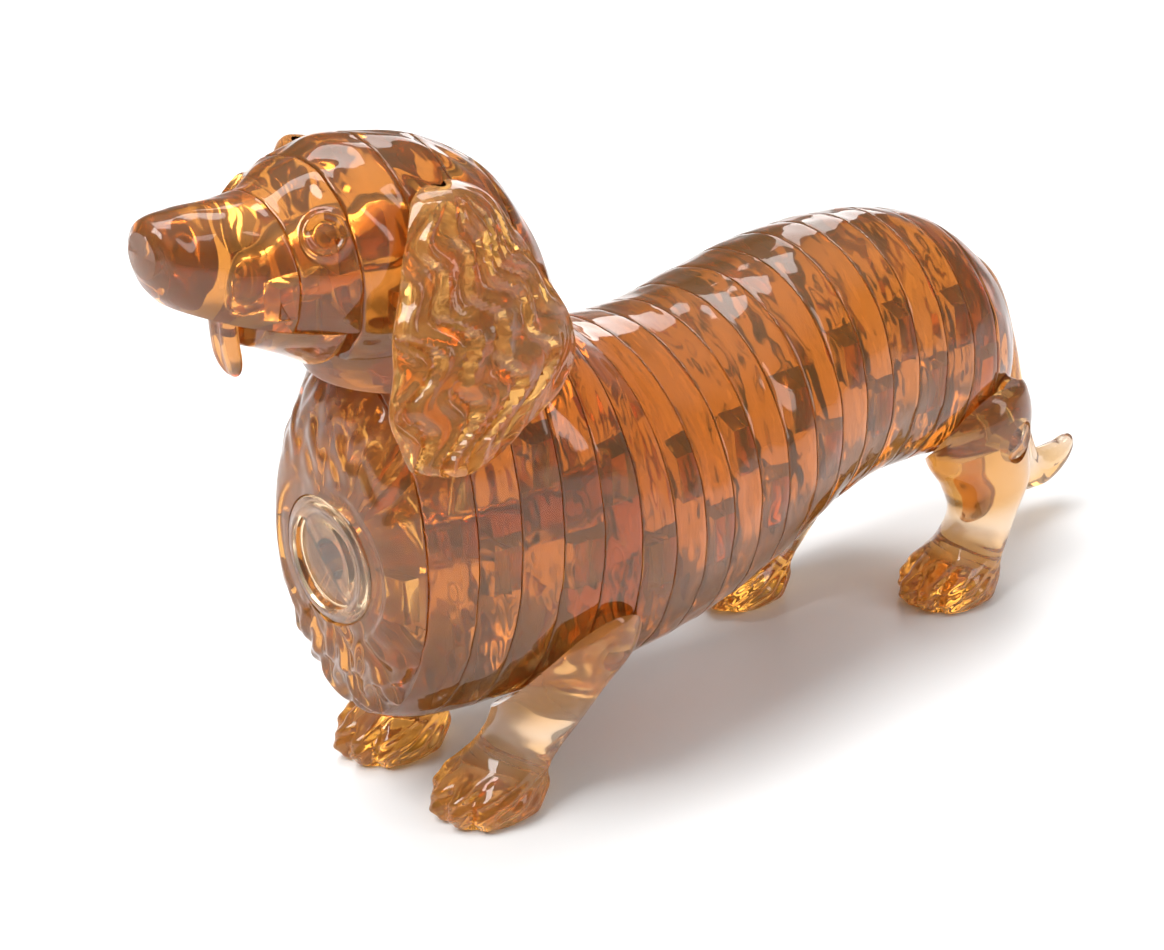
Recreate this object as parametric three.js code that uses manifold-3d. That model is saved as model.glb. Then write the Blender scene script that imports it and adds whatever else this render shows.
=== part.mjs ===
// A stacking crystal puzzle in the shape of a standing dachshund, in millimetres.
// The dog faces -X, its left side is at -Y and +Z is up. Its body, neck and head are cut into
// plates that push together on lugs, and legs, ears, tail, jaw and tongue push on with pegs.
// Three lock pins hold the plates together: one in the chest, one in the head, one across the hips.
import * as THREE from "three";
import { mergeVertices } from "three/addons/utils/BufferGeometryUtils.js";
import Module from "manifold-3d";

const wasm = await Module();
wasm.setup();

// ---- Driving dimensions ----
const GAP = 0.3; // clearance left between any two pieces that lie against each other
const PLATE_PITCH = 4.9; // thickness of one body plate with its gap
const PLATE_COUNT = 18;
const BODY_START = -43.5; // where the chest bib ends and the first plate begins
const BODY_END = BODY_START + PLATE_PITCH * PLATE_COUNT;
const CHEST_DEPTH = 4.5; // the bib, in front of the first plate
const RUMP_LENGTH = 11.8; // the rump, behind the last plate
const NECK_BOTTOM = 55; // the body plates are cut flat here, and the neck plate stands on them
const NECK_TOP = 60; // the head plates stand here
const FACE_END = BODY_START - 5.5; // the front of the skull plates
const FACE_THICKNESS = 6;
const MUZZLE_LENGTH = 13.3;
const SKULL_PITCH = 7;
const SKULL_COUNT = 4;
const SKULL_LENGTH = 30.5;
const JAW_OVERHANG = 2.8; // how far the jaw reaches in front of the face plate
const SLIDE_ROOM = 3; // how far each plate slides off the next one, past the legs and ears

const LUG = { length: 1.8, width: 4, height: 5 }; // rectangular lug on the front of a body plate
const HEAD_LUG = { length: 1.8, width: 3, height: 3.4 }; // the same, on the plates of the head
const LUG_CLEARANCE = 0.3;
const PEG_RADIUS = 1.6; // round peg of a leg, ear, neck or tail
const PEG_LENGTH = 3;
const PEG_CLEARANCE = 0.3;
const JAW_PEG = { side: 4.8, radius: 1.2, bottom: 63, top: 68 }; // one on each side
const NECK_PEG_PLATE = 3; // the body plate that takes the neck's peg
const FRONT_LEG_PLATE = 5; // the body plate that takes the front legs' pegs

// The lock pins. The chest pin goes in from the front as far as its last plate, the head pin from
// the back, and the hip pin from the left.
const CHEST_PIN = { z: 33.6, radius: 2.4, headRadius: 7.4, headLength: 1.9, lastPlate: 5 };
const HEAD_PIN = { z: 69.5, radius: 2.4, headRadius: 3.4, headLength: 2.2, reach: 4 }; // into the muzzle
const HIP_PIN = { z: 23.5, reach: 16.2, radius: 1.5, headRadius: 2.6, headLength: 1.6 };

const BODY_SIDES = 24; // corners round a plate
const LIMB_SIDES = 14; // corners round a leg or the tail
const BEYOND = 200; // half-width of a cutting box that must reach past everything

// ---- Places that follow from them ----
const CHEST_FRONT = BODY_START - CHEST_DEPTH;
const RUMP_END = BODY_END + RUMP_LENGTH;
const MUZZLE_END = FACE_END - FACE_THICKNESS;
const NOSE_TIP = MUZZLE_END - MUZZLE_LENGTH;
const SKULL_END = FACE_END + SKULL_LENGTH;
const JAW_FRONT = MUZZLE_END - JAW_OVERHANG;
const JAW_END = FACE_END - 1.2;
const plateMiddle = (number) => BODY_START + PLATE_PITCH * (number - 0.5);
const NECK_PEG_X = plateMiddle(NECK_PEG_PLATE);
const SHOULDER_X = plateMiddle(FRONT_LEG_PLATE);
const SKULL_PEG_X = FACE_END + SKULL_PITCH * 1.5; // the middle of the second skull plate
const plateFront = (count) => BODY_START + PLATE_PITCH * count; // that many plates behind the bib
const SHOULDER_END = plateFront(6.6);
const alongBack = (share) => SHOULDER_END + share * (BODY_END - SHOULDER_END);

// ---- Outlines: each row is one station that a smooth curve passes through ----
// Body stations along X: [x, top, bottom, half width]. Under the neck the tops run on above NECK_BOTTOM.
const BODY = [
  [CHEST_FRONT, 38, 28, 4],
  [BODY_START - 3.8, 46, 20.6, 9],
  [BODY_START - 2.3, 52, 16.2, 11.4],
  [BODY_START, 56, 13.4, 13],
  [plateFront(0.6), 60, 11.8, 14.8],
  [plateFront(1.4), 62.5, 10.9, 16.1],
  [plateFront(2.75), 63, 10.4, 17.8],
  [plateFront(4.2), 59, 10.3, 19.3],
  [plateFront(5.4), 54.4, 10.2, 20],
  [SHOULDER_END, 51.2, 10.4, 19.9],
  [alongBack(0.22), 50.1, 11.6, 18.4],
  [alongBack(0.4), 51.8, 14.2, 17.4],
  [alongBack(0.56), 53.4, 17.4, 15.9],
  [alongBack(0.74), 53.4, 19.2, 15],
  [alongBack(0.88), 52.2, 19, 15],
  [BODY_END, 49.8, 18.6, 14.4],
  [BODY_END + 5.3, 45.8, 19.6, 12.2],
  [BODY_END + 9.3, 39.8, 22.4, 8.4],
  [RUMP_END, 33.5, 26.5, 3.5],
];
// Head stations along X: [x, top, bottom, half width]. Behind FACE_END the bottoms run on below NECK_TOP.
const HEAD = [
  [NOSE_TIP, 76.8, 73.2, 2.2],
  [NOSE_TIP + 1.1, 78.1, 70.4, 3.8],
  [NOSE_TIP + 4.3, 78.6, 66.6, 4.9],
  [MUZZLE_END - 5, 78.4, 63.5, 6.3],
  [MUZZLE_END, 78.2, 61, 8.3],
  [FACE_END - 2, 79.8, 58.7, 10.2],
  [FACE_END + 3, 81.6, 55, 11.3],
  [FACE_END + 10, 81, 52, 11.8],
  [FACE_END + 17, 78.5, 51, 11.4],
  [FACE_END + 23, 74.4, 51, 10.4],
  [FACE_END + 27, 67.4, 52, 8.4],
  [SKULL_END, 60.5, 56, 3.6],
];
// The mouth line, from the nose back to the end of the lower jaw: [x, z].
const MOUTH = [
  [NOSE_TIP - 1, 70.6],
  [NOSE_TIP + 3.3, 68.4],
  [MUZZLE_END - 5, 66.3],
  [MUZZLE_END, 64.9],
  [FACE_END + 1, 64],
];
// Neck plate stations along Z: [z, front x, back x, half width].
const NECK = [
  [NECK_BOTTOM, BODY_START - 3.9, plateFront(5.6), 12.8],
  [(NECK_BOTTOM + NECK_TOP) / 2, BODY_START - 4.1, plateFront(5.35), 12.2],
  [NECK_TOP, BODY_START - 4.3, plateFront(5.1), 11.4],
];
// Left front leg, stations along Z: [z, middle x behind SHOULDER_X, middle y, half length, half width].
const FRONT_LEG = [
  [0, -10.7, -9, 6.2, 4.9],
  [2, -11.1, -9, 7.2, 5.8],
  [4.5, -10.5, -9, 6.6, 5.5],
  [7, -7.5, -9.3, 5.6, 4.8],
  [10, -4.9, -9.8, 6, 4.9],
  [15, -3.3, -11.2, 6.8, 5.9],
  [20, -1.5, -13.2, 7, 6.4],
  [24.5, -0.3, -14.6, 5.6, 5.2],
  [27.5, 0.3, -15.2, 2.6, 2.6],
];
const FRONT_PEG = { z: 20, from: 17.5, length: 5.5 };
// Left hind leg with its thigh, in the same way, with the middle x behind BODY_END.
const HIND_LEG = [
  [0, -0.3, -9, 6, 4.8],
  [2, -0.7, -9, 7, 5.8],
  [4.5, 0.1, -9, 6.4, 5.4],
  [7, 2.7, -9.2, 4.9, 4.6],
  [11, 4.3, -9.6, 4.7, 4.3],
  [16, 3.5, -10.4, 6.4, 5],
  [21, 1, -11, 7.6, 5.6],
  [27, 0.9, -11.2, 7.4, 5.4],
  [32, 1.9, -11, 4.4, 4],
];
const HIND_PEG = { x: BODY_END + 2.3, z: 30.2, from: 14.8, length: 5 };
const HIP_X = BODY_END + 2.9; // where the hip pin crosses
const HIND_STRIDE = 20; // how much further forward the right hind paw stands than the left one
const STRIDE_FADE = [1, 1, 1, 0.9, 0.7, 0.42, 0.16, 0, 0]; // its share at each station of HIND_LEG
// Tail, stations along its path: [x behind BODY_END, z, half thickness, half width].
const TAIL = [
  [5.5, 42.5, 2.6, 3],
  [9.5, 37, 4.2, 4.4],
  [12.7, 29, 4.6, 4.6],
  [16.1, 20.2, 4.4, 4.2],
  [19.1, 12.6, 3.9, 3.6],
  [22.1, 8.2, 3.3, 3],
  [25.9, 6.6, 2.6, 2.5],
  [30.1, 7.4, 1.8, 1.8],
  [32.9, 9.2, 0.9, 0.9],
];
const TAIL_PEG = { x: BODY_END + 13.8, z: 30, length: 6.5 };
// Left ear, stations down its length: [z, front and back x behind FACE_END, middle y].
const EAR = [
  [77.8, 6.4, 12.4, -11.6],
  [75.2, 3.8, 16, -12.7],
  [70.5, 2, 18.8, -14.4],
  [63.5, -0.4, 22.2, -16.8],
  [57.5, -1.4, 23.4, -18.4],
  [53.4, -1.2, 18, -19.4],
  [50.2, 0.6, 9, -20],
];
const EAR_THICKNESS = 3.4;
const EAR_SIDES = 14;
const EAR_CURL = 1.7; // how far the ear's edges curl in towards the neck
const EAR_OFF = 0.8; // clearance between an ear and the head and neck, more than GAP
const EAR_PEG = { z: 74, from: 13.4, length: 6.5 };
const EAR_ROOT_SHIFT = { left: 0, right: -1.5 }; // the right ear's root stands further forward
const EAR_SWEEP = { left: 0, right: 13 }; // and its tip swings this much further back
const TONGUE = { front: JAW_FRONT - 2.4, width: 4.4, thickness: 2.1, top: 65.8, tip: 58.8 };
const TONGUE_TAB = { width: 3.2, height: 0.9, length: 3.2, depth: 1.2 }; // depth below the jaw's top

// ---- Curves and rings ----
// A smooth function through rows [t, value, value, ...]: a cubic whose slopes come from the neighbours.
function curveThrough(rows) {
  const slope = (i, k) => {
    const a = rows[Math.max(0, i - 1)];
    const b = rows[Math.min(rows.length - 1, i + 1)];
    return (b[k] - a[k]) / (b[0] - a[0]);
  };
  return (t) => {
    let i = rows.findIndex((row) => row[0] >= t);
    i = i < 0 ? rows.length - 1 : Math.max(1, i);
    const [a, b] = [rows[i - 1], rows[i]];
    const h = b[0] - a[0];
    const u = Math.min(1, Math.max(0, (t - a[0]) / h));
    return a.slice(1).map((start, n) => {
      const k = n + 1;
      const rise = 3 * u * u - 2 * u * u * u;
      const leave = u * (1 - u) * (1 - u) * h * slope(i - 1, k);
      const arrive = u * u * (u - 1) * h * slope(i, k);
      return start + (b[k] - start) * rise + leave + arrive;
    });
  };
}
const bodyAt = curveThrough(BODY);
const headAt = curveThrough(HEAD);

// A closed ring of points: an ellipse with half axes a along u and b along v.
function ellipse(centre, u, v, a, b, sides) {
  return Array.from({ length: sides }, (_, i) => {
    const t = (2 * Math.PI * i) / sides;
    return centre.clone().addScaledVector(u, a * Math.cos(t)).addScaledVector(v, b * Math.sin(t));
  });
}
const X = new THREE.Vector3(1, 0, 0);
const Y = new THREE.Vector3(0, 1, 0);
const Z = new THREE.Vector3(0, 0, 1);

// A closed surface over rings that follow each other, with a fan over each end.
function loft(rings) {
  const sides = rings[0].length;
  const middle = (ring) =>
    ring.reduce((sum, p) => sum.add(p), new THREE.Vector3()).divideScalar(sides);
  const points = [...rings.flat(), middle(rings[0]), middle(rings.at(-1))];
  const first = rings.length * sides;
  const faces = [];
  for (let i = 0; i < sides; i++) {
    const j = (i + 1) % sides;
    for (let r = 0; r < rings.length - 1; r++) {
      const [a, b] = [r * sides, (r + 1) * sides];
      faces.push(a + i, a + j, b + j, a + i, b + j, b + i);
    }
    const last = (rings.length - 1) * sides;
    faces.push(first, j, i, first + 1, last + i, last + j);
  }
  const geometry = new THREE.BufferGeometry().setFromPoints(points);
  geometry.setIndex(faces);
  return solidOf(geometry);
}

// ---- Solids ----
function solidOf(source, place = new THREE.Matrix4()) {
  const geometry = source.clone().applyMatrix4(place);
  geometry.deleteAttribute("normal");
  geometry.deleteAttribute("uv");
  const merged = mergeVertices(geometry, 1e-4);
  const solid = new wasm.Manifold(
    new wasm.Mesh({
      numProp: 3,
      vertProperties: new Float32Array(merged.attributes.position.array),
      triVerts: new Uint32Array(merged.index.array),
    }),
  );
  if (solid.volume() > 0) return solid;
  const turned = merged.index.array;
  for (let i = 0; i < turned.length; i += 3)
    [turned[i + 1], turned[i + 2]] = [turned[i + 2], turned[i + 1]];
  return new wasm.Manifold(
    new wasm.Mesh({
      numProp: 3,
      vertProperties: new Float32Array(merged.attributes.position.array),
      triVerts: new Uint32Array(turned),
    }),
  );
}

// A box from one corner to another.
function box(low, high) {
  const size = high.map((h, i) => h - low[i]);
  const middle = high.map((h, i) => (h + low[i]) / 2);
  return solidOf(
    new THREE.BoxGeometry(...size),
    new THREE.Matrix4().makeTranslation(...middle),
  );
}

// A round rod from one point to another.
function rod(from, to, radius, sides = 12) {
  const axis = to.clone().sub(from);
  const turn = new THREE.Quaternion().setFromUnitVectors(Y, axis.clone().normalize());
  const place = new THREE.Matrix4().compose(
    from.clone().add(to).multiplyScalar(0.5),
    turn,
    new THREE.Vector3(1, 1, 1),
  );
  return solidOf(new THREE.CylinderGeometry(radius, radius, axis.length(), sides), place);
}
const slabX = (from, to) => box([from, -BEYOND, -BEYOND], [to, BEYOND, BEYOND]);
const slabZ = (from, to) => box([-BEYOND, -BEYOND, from], [BEYOND, BEYOND, to]);
const point = (x, y, z) => new THREE.Vector3(x, y, z);

// The whole body or head as one solid, its surface moved out by grow.
function bodyOrHead(at, from, to, step, rows, grow = 0) {
  const stops = rows.map((row) => row[0]).filter((x) => x < from || x > to);
  for (let x = from; x <= to + 1e-6; x += step) stops.push(x);
  stops.sort((a, b) => a - b);
  return loft(
    stops.map((x) => {
      const [top, bottom, halfWidth] = at(x);
      const centre = point(x, 0, (top + bottom) / 2);
      return ellipse(centre, Y, Z, halfWidth + grow, (top - bottom) / 2 + grow, BODY_SIDES);
    }),
  );
}
const LAST_SKULL = FACE_END + SKULL_PITCH * (SKULL_COUNT - 1);
const torso = bodyOrHead(bodyAt, BODY_START, BODY_END, PLATE_PITCH, BODY);
const torsoGrown = bodyOrHead(bodyAt, BODY_START, BODY_END, PLATE_PITCH, BODY, GAP);
const headWhole = bodyOrHead(headAt, FACE_END, LAST_SKULL, SKULL_PITCH, HEAD);

// ---- Lugs and sockets between two plates that meet at x ----
// The lugs stand on the rear plate and reach forward. Their height alternates from joint to joint.
function lugPlaces(at, x, index) {
  const [top, bottom, halfWidth] = at(x);
  const middle = (top + bottom) / 2;
  const rise = index % 2 ? 0.32 : -0.12;
  return [-1, 1].map((side) => [side * halfWidth * 0.68, middle + rise * ((top - bottom) / 2)]);
}
function lugs(at, x, index, grow = 0, size = LUG) {
  const reach = size.length + (grow ? LUG_CLEARANCE : 0);
  return lugPlaces(at, x, index).map(([y, z]) =>
    box(
      [x - GAP / 2 - reach, y - size.width / 2 - grow, z - size.height / 2 - grow],
      [x + 0.8, y + size.width / 2 + grow, z + size.height / 2 + grow],
    ),
  );
}
const pieces = {};
const add = (solid, ...others) => others.reduce((made, other) => made.add(other), solid);
const cut = (solid, ...others) => others.reduce((made, other) => made.subtract(other), solid);

// A plate between two cuts, with its lugs in front and the sockets for the next plate's lugs behind.
function plate(whole, at, from, to, index, size) {
  const slice = whole.intersect(slabX(from + GAP / 2, to - GAP / 2));
  const front = lugs(at, from, index, 0, size).map((lug) => lug.intersect(whole));
  const behind = lugs(at, to, index + 1, LUG_CLEARANCE, size);
  return cut(add(slice, ...front), ...behind);
}
// The last piece of a row of plates, which has lugs in front only.
function lastPlate(whole, at, from, index, size) {
  const front = lugs(at, from, index, 0, size).map((lug) => lug.intersect(whole));
  return add(whole.intersect(slabX(from + GAP / 2, BEYOND)), ...front);
}

// ---- Body: chest bib, plates and rump ----
const upToNeck = slabZ(-BEYOND, NECK_BOTTOM - GAP / 2);
const trunk = torso.intersect(upToNeck);
const onChestAxis = (x) => point(x, 0, CHEST_PIN.z);
const chestPinEnd = BODY_START + PLATE_PITCH * CHEST_PIN.lastPlate - 1;
const chestHeadEnd = CHEST_FRONT + CHEST_PIN.headLength;
const ahead = CHEST_FRONT - 5;
const chestBore = rod(
  onChestAxis(ahead),
  onChestAxis(chestPinEnd + PEG_CLEARANCE),
  CHEST_PIN.radius + GAP,
  16,
);
const chestSeat = rod(
  onChestAxis(ahead),
  onChestAxis(chestHeadEnd + GAP),
  CHEST_PIN.headRadius + GAP,
  20,
);
pieces.chest_bib = cut(
  trunk.intersect(slabX(ahead, BODY_START - GAP / 2)),
  ...lugs(bodyAt, BODY_START, 0, LUG_CLEARANCE),
  chestBore,
  chestSeat,
);
const plateName = (number) => `body_plate_${String(number).padStart(2, "0")}`;
for (let i = 0; i < PLATE_COUNT; i++) {
  const from = BODY_START + i * PLATE_PITCH;
  const made = plate(trunk, bodyAt, from, from + PLATE_PITCH, i);
  pieces[plateName(i + 1)] = i < CHEST_PIN.lastPlate ? cut(made, chestBore) : made;
}
const onHip = (y) => point(HIP_X, y, HIP_PIN.z);
const hipHeadEnd = HIP_PIN.headLength - HIP_PIN.reach;
const hipBore = rod(onHip(-BEYOND), onHip(BEYOND), HIP_PIN.radius + GAP);
const hipSeat = rod(onHip(-BEYOND), onHip(hipHeadEnd + GAP), HIP_PIN.headRadius + GAP);
pieces.rump = cut(lastPlate(trunk, bodyAt, BODY_END, PLATE_COUNT), hipBore);

// The chest pin's round head follows the chest's own surface and has a half-round finger notch.
const notchDepth = 1.2; // of the finger notch, from the front of the chest
const notchMargin = 1.6; // left round it
const notch = rod(
  onChestAxis(ahead),
  onChestAxis(CHEST_FRONT + notchDepth),
  CHEST_PIN.headRadius - notchMargin,
  20,
).intersect(box([-BEYOND, -BEYOND, 0], [BEYOND, BEYOND, CHEST_PIN.z - 0.6]));
pieces.chest_lock_pin = rod(onChestAxis(ahead), onChestAxis(chestHeadEnd), CHEST_PIN.headRadius, 20)
  .intersect(torso)
  .subtract(notch)
  .add(rod(onChestAxis(chestHeadEnd - 1), onChestAxis(chestPinEnd), CHEST_PIN.radius, 16));

// ---- Neck plate ----
const neckAt = curveThrough(NECK);
const neckBody = loft(
  [NECK_BOTTOM + GAP / 2, NECK[1][0], NECK_TOP - GAP / 2].map((z) => {
    const [front, back, halfWidth] = neckAt(z);
    return ellipse(point((front + back) / 2, 0, z), X, Y, (back - front) / 2, halfWidth, BODY_SIDES);
  }),
);
// A peg that stands on one piece, or its socket in another when grow is the clearance.
function peg(from, direction, length, grow = 0) {
  const end = from.clone().addScaledVector(direction, length + grow);
  return rod(from, end, PEG_RADIUS + grow);
}
const downPeg = [point(NECK_PEG_X, 0, NECK_BOTTOM + 1), Z.clone().negate(), PEG_LENGTH + 1];
const upPeg = [point(SKULL_PEG_X, 0, NECK_TOP - 1), Z, PEG_LENGTH + 1];
pieces.neck_plate = add(neckBody, peg(...downPeg), peg(...upPeg));
const neckHost = plateName(NECK_PEG_PLATE);
pieces[neckHost] = cut(pieces[neckHost], peg(...downPeg, PEG_CLEARANCE));

// ---- Head ----
const mouthAt = curveThrough(MOUTH);
// Everything above the mouth line, moved up by lift, as a prism across the head.
function aboveMouth(lift) {
  const steps = 8;
  const back = FACE_END + 1;
  const outline = new THREE.Shape();
  outline.moveTo(MOUTH[0][0] - 5, MOUTH[0][1] + lift);
  for (let i = 0; i <= steps; i++) {
    const x = MOUTH[0][0] + ((back - MOUTH[0][0]) * i) / steps;
    outline.lineTo(x, mouthAt(x)[0] + lift);
  }
  outline.lineTo(back, BEYOND);
  outline.lineTo(MOUTH[0][0] - 5, BEYOND);
  outline.closePath();
  const prism = new THREE.ExtrudeGeometry(outline, { depth: 2 * BEYOND, bevelEnabled: false });
  const stand = new THREE.Matrix4().makeRotationX(Math.PI / 2).setPosition(0, BEYOND, 0);
  return solidOf(prism, stand);
}
const onHeadAxis = (x) => point(x, 0, HEAD_PIN.z);
const headPinFront = MUZZLE_END - HEAD_PIN.reach;
const headPinBack = LAST_SKULL + 0.8;
const headPinSeat = headPinBack - HEAD_PIN.headLength;
const headBore = rod(onHeadAxis(headPinFront - 0.5), onHeadAxis(SKULL_END), HEAD_PIN.radius + GAP);
const headSeat = rod(onHeadAxis(headPinSeat - GAP), onHeadAxis(SKULL_END), HEAD_PIN.headRadius + GAP);
const aboveNeck = slabZ(NECK_TOP + GAP / 2, BEYOND);
const upperHead = headWhole.intersect(aboveMouth(GAP / 2));
const skull = headWhole.intersect(aboveNeck);

// The muzzle is cut level above the jaw and tongue, so that it slides forward over them.
const overJaw = box(
  [TONGUE.front, -BEYOND, -BEYOND],
  [MUZZLE_END, BEYOND, mouthAt(TONGUE.front)[0] + GAP],
);
pieces.muzzle = cut(
  upperHead.intersect(slabX(NOSE_TIP - 1, MUZZLE_END - GAP / 2)),
  overJaw,
  ...lugs(headAt, MUZZLE_END, 0, LUG_CLEARANCE, HEAD_LUG),
  headBore,
);
pieces.face_plate = cut(
  plate(upperHead, headAt, MUZZLE_END, FACE_END, 0, HEAD_LUG),
  headBore,
);
const jawBelow = headWhole.subtract(aboveMouth(-GAP / 2));
pieces.lower_jaw = jawBelow.intersect(slabX(JAW_FRONT, JAW_END));
for (let i = 0; i < SKULL_COUNT; i++) {
  const from = FACE_END + i * SKULL_PITCH;
  const made =
    i === SKULL_COUNT - 1
      ? lastPlate(skull, headAt, from, i + 1, HEAD_LUG)
      : plate(skull, headAt, from, from + SKULL_PITCH, i + 1, HEAD_LUG);
  pieces[`skull_plate_${i + 1}`] = cut(made, headBore, headSeat);
}
pieces.skull_plate_2 = cut(pieces.skull_plate_2, peg(...upPeg, PEG_CLEARANCE));
pieces.head_lock_pin = add(
  rod(onHeadAxis(headPinFront), onHeadAxis(headPinSeat + 1), HEAD_PIN.radius),
  rod(onHeadAxis(headPinSeat), onHeadAxis(headPinBack), HEAD_PIN.headRadius),
);

// The jaw has a peg on each side that goes up into the face plate.
const jawPegX = (MUZZLE_END + FACE_END) / 2;
for (const side of [-1, 1]) {
  const jawPeg = (grow) =>
    rod(
      point(jawPegX, side * JAW_PEG.side, JAW_PEG.bottom),
      point(jawPegX, side * JAW_PEG.side, JAW_PEG.top + grow),
      JAW_PEG.radius + grow,
    );
  pieces.lower_jaw = add(pieces.lower_jaw, jawPeg(0));
  pieces.face_plate = cut(pieces.face_plate, jawPeg(PEG_CLEARANCE));
}

// The tongue hangs in front of the jaw, and its flat tab pushes into a slot in the jaw.
const tongueMiddle = TONGUE.front + TONGUE.thickness / 2;
const tongueSteps = 6;
const tongueBlade = loft(
  Array.from({ length: tongueSteps + 1 }, (_, i) => {
    const t = i / tongueSteps;
    const z = TONGUE.top + (TONGUE.tip - TONGUE.top) * t;
    const round = Math.sqrt(1 - 0.94 * Math.max(0, (t - 0.5) / 0.5) ** 2);
    const centre = point(tongueMiddle + 0.9 * t * t, 0, z);
    return ellipse(centre, X, Y, (TONGUE.thickness / 2) * round, (TONGUE.width / 2) * round, 12);
  }),
);
const tabTop = mouthAt(JAW_FRONT)[0] - TONGUE_TAB.depth;
function tongueTab(grow) {
  const halfWidth = TONGUE_TAB.width / 2 + grow;
  return box(
    [tongueMiddle, -halfWidth, tabTop - TONGUE_TAB.height - grow],
    [JAW_FRONT + TONGUE_TAB.length + grow, halfWidth, tabTop + grow],
  );
}
pieces.tongue = tongueBlade.subtract(aboveMouth(-GAP)).add(tongueTab(0));
pieces.lower_jaw = cut(pieces.lower_jaw, tongueTab(PEG_CLEARANCE));

// ---- Ears ----
const headClear = bodyOrHead(headAt, FACE_END, LAST_SKULL, SKULL_PITCH, HEAD, EAR_OFF);
const torsoClear = bodyOrHead(bodyAt, BODY_START, BODY_END, PLATE_PITCH, BODY, EAR_OFF);
// The body's shape with the room that its plates need as they slide apart.
const slidingRoom = [-2, -1, 1].map((n) => torsoGrown.translate(n * SLIDE_ROOM, 0, 0));
function ear(side, shift, sweep) {
  const [top, low] = [EAR[0][0], EAR.at(-1)[0]];
  const leaf = loft(
    EAR.map(([z, front, back, y], row) => {
      const swing = shift + (sweep * (top - z)) / (top - low);
      const middle = FACE_END + (front + back) / 2 + swing;
      const half = (back - front) / 2;
      const thick = (EAR_THICKNESS / 2) * (row === 0 || row === EAR.length - 1 ? 0.55 : 1);
      return ellipse(point(middle, 0, z), X, Y, half, thick, EAR_SIDES).map((p) => {
        const across = (p.x - middle) / half;
        p.y = side * (-y - EAR_CURL * across * across) + p.y;
        return p;
      });
    }),
  );
  const earPeg = [
    point(SKULL_PEG_X, side * EAR_PEG.from, EAR_PEG.z),
    Y.clone().multiplyScalar(-side),
    EAR_PEG.length,
  ];
  const shape = cut(leaf, headClear, torsoClear);
  const largest = shape.decompose().sort((a, b) => b.volume() - a.volume())[0];
  return { solid: add(largest, peg(...earPeg)), socket: peg(...earPeg, PEG_CLEARANCE) };
}
for (const [name, side] of [["left", -1], ["right", 1]]) {
  const made = ear(side, EAR_ROOT_SHIFT[name], EAR_SWEEP[name]);
  pieces[`ear_${name}`] = made.solid;
  pieces.skull_plate_2 = cut(pieces.skull_plate_2, made.socket);
}

// ---- Legs ----
// A leg is a stack of oval rings. The body's own shape, with sliding room, is cut out of it.
function leg(stations, rootX, side, stride = []) {
  const rings = stations.map(([z, x, y, halfLength, halfWidth], i) => {
    const forward = HIND_STRIDE * (stride[i] ?? 0);
    return ellipse(point(rootX + x - forward, -side * y, z), X, Y, halfLength, halfWidth, LIMB_SIDES);
  });
  return cut(loft(rings), torsoGrown, ...slidingRoom);
}
for (const [name, side] of [["left", -1], ["right", 1]]) {
  const inward = Y.clone().multiplyScalar(-side);
  const frontFrom = point(SHOULDER_X, side * FRONT_PEG.from, FRONT_PEG.z);
  const frontPeg = [frontFrom, inward, FRONT_PEG.length];
  pieces[`front_leg_${name}`] = add(leg(FRONT_LEG, SHOULDER_X, side), peg(...frontPeg));
  const host = plateName(FRONT_LEG_PLATE);
  pieces[host] = cut(pieces[host], peg(...frontPeg, PEG_CLEARANCE));

  const stride = side > 0 ? STRIDE_FADE : [];
  const hindFrom = point(HIND_PEG.x, side * HIND_PEG.from, HIND_PEG.z);
  const hindPeg = [hindFrom, inward, HIND_PEG.length];
  const thigh = add(leg(HIND_LEG, BODY_END, side, stride), peg(...hindPeg));
  pieces[`hind_leg_${name}`] = cut(thigh, hipBore);
  pieces.rump = cut(pieces.rump, peg(...hindPeg, PEG_CLEARANCE));
}
pieces.hind_leg_left = cut(pieces.hind_leg_left, hipSeat);
pieces.hip_lock_pin = add(
  rod(onHip(-HIP_PIN.reach), onHip(HIP_PIN.reach), HIP_PIN.radius),
  rod(onHip(-HIP_PIN.reach), onHip(hipHeadEnd), HIP_PIN.headRadius),
);

// ---- Tail ----
const tailRings = TAIL.map(([x, z, halfThickness, halfWidth], i) => {
  const before = TAIL[Math.max(0, i - 1)];
  const after = TAIL[Math.min(TAIL.length - 1, i + 1)];
  const along = point(after[0] - before[0], 0, after[1] - before[1]).normalize();
  const out = along.clone().cross(Y);
  return ellipse(point(BODY_END + x, 0, z), out, Y, halfThickness, halfWidth, LIMB_SIDES);
});
const tailPeg = [point(TAIL_PEG.x, 0, TAIL_PEG.z), X.clone().negate(), TAIL_PEG.length];
pieces.tail = add(loft(tailRings).subtract(torsoGrown), peg(...tailPeg));
pieces.rump = cut(pieces.rump, peg(...tailPeg, PEG_CLEARANCE));

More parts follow.
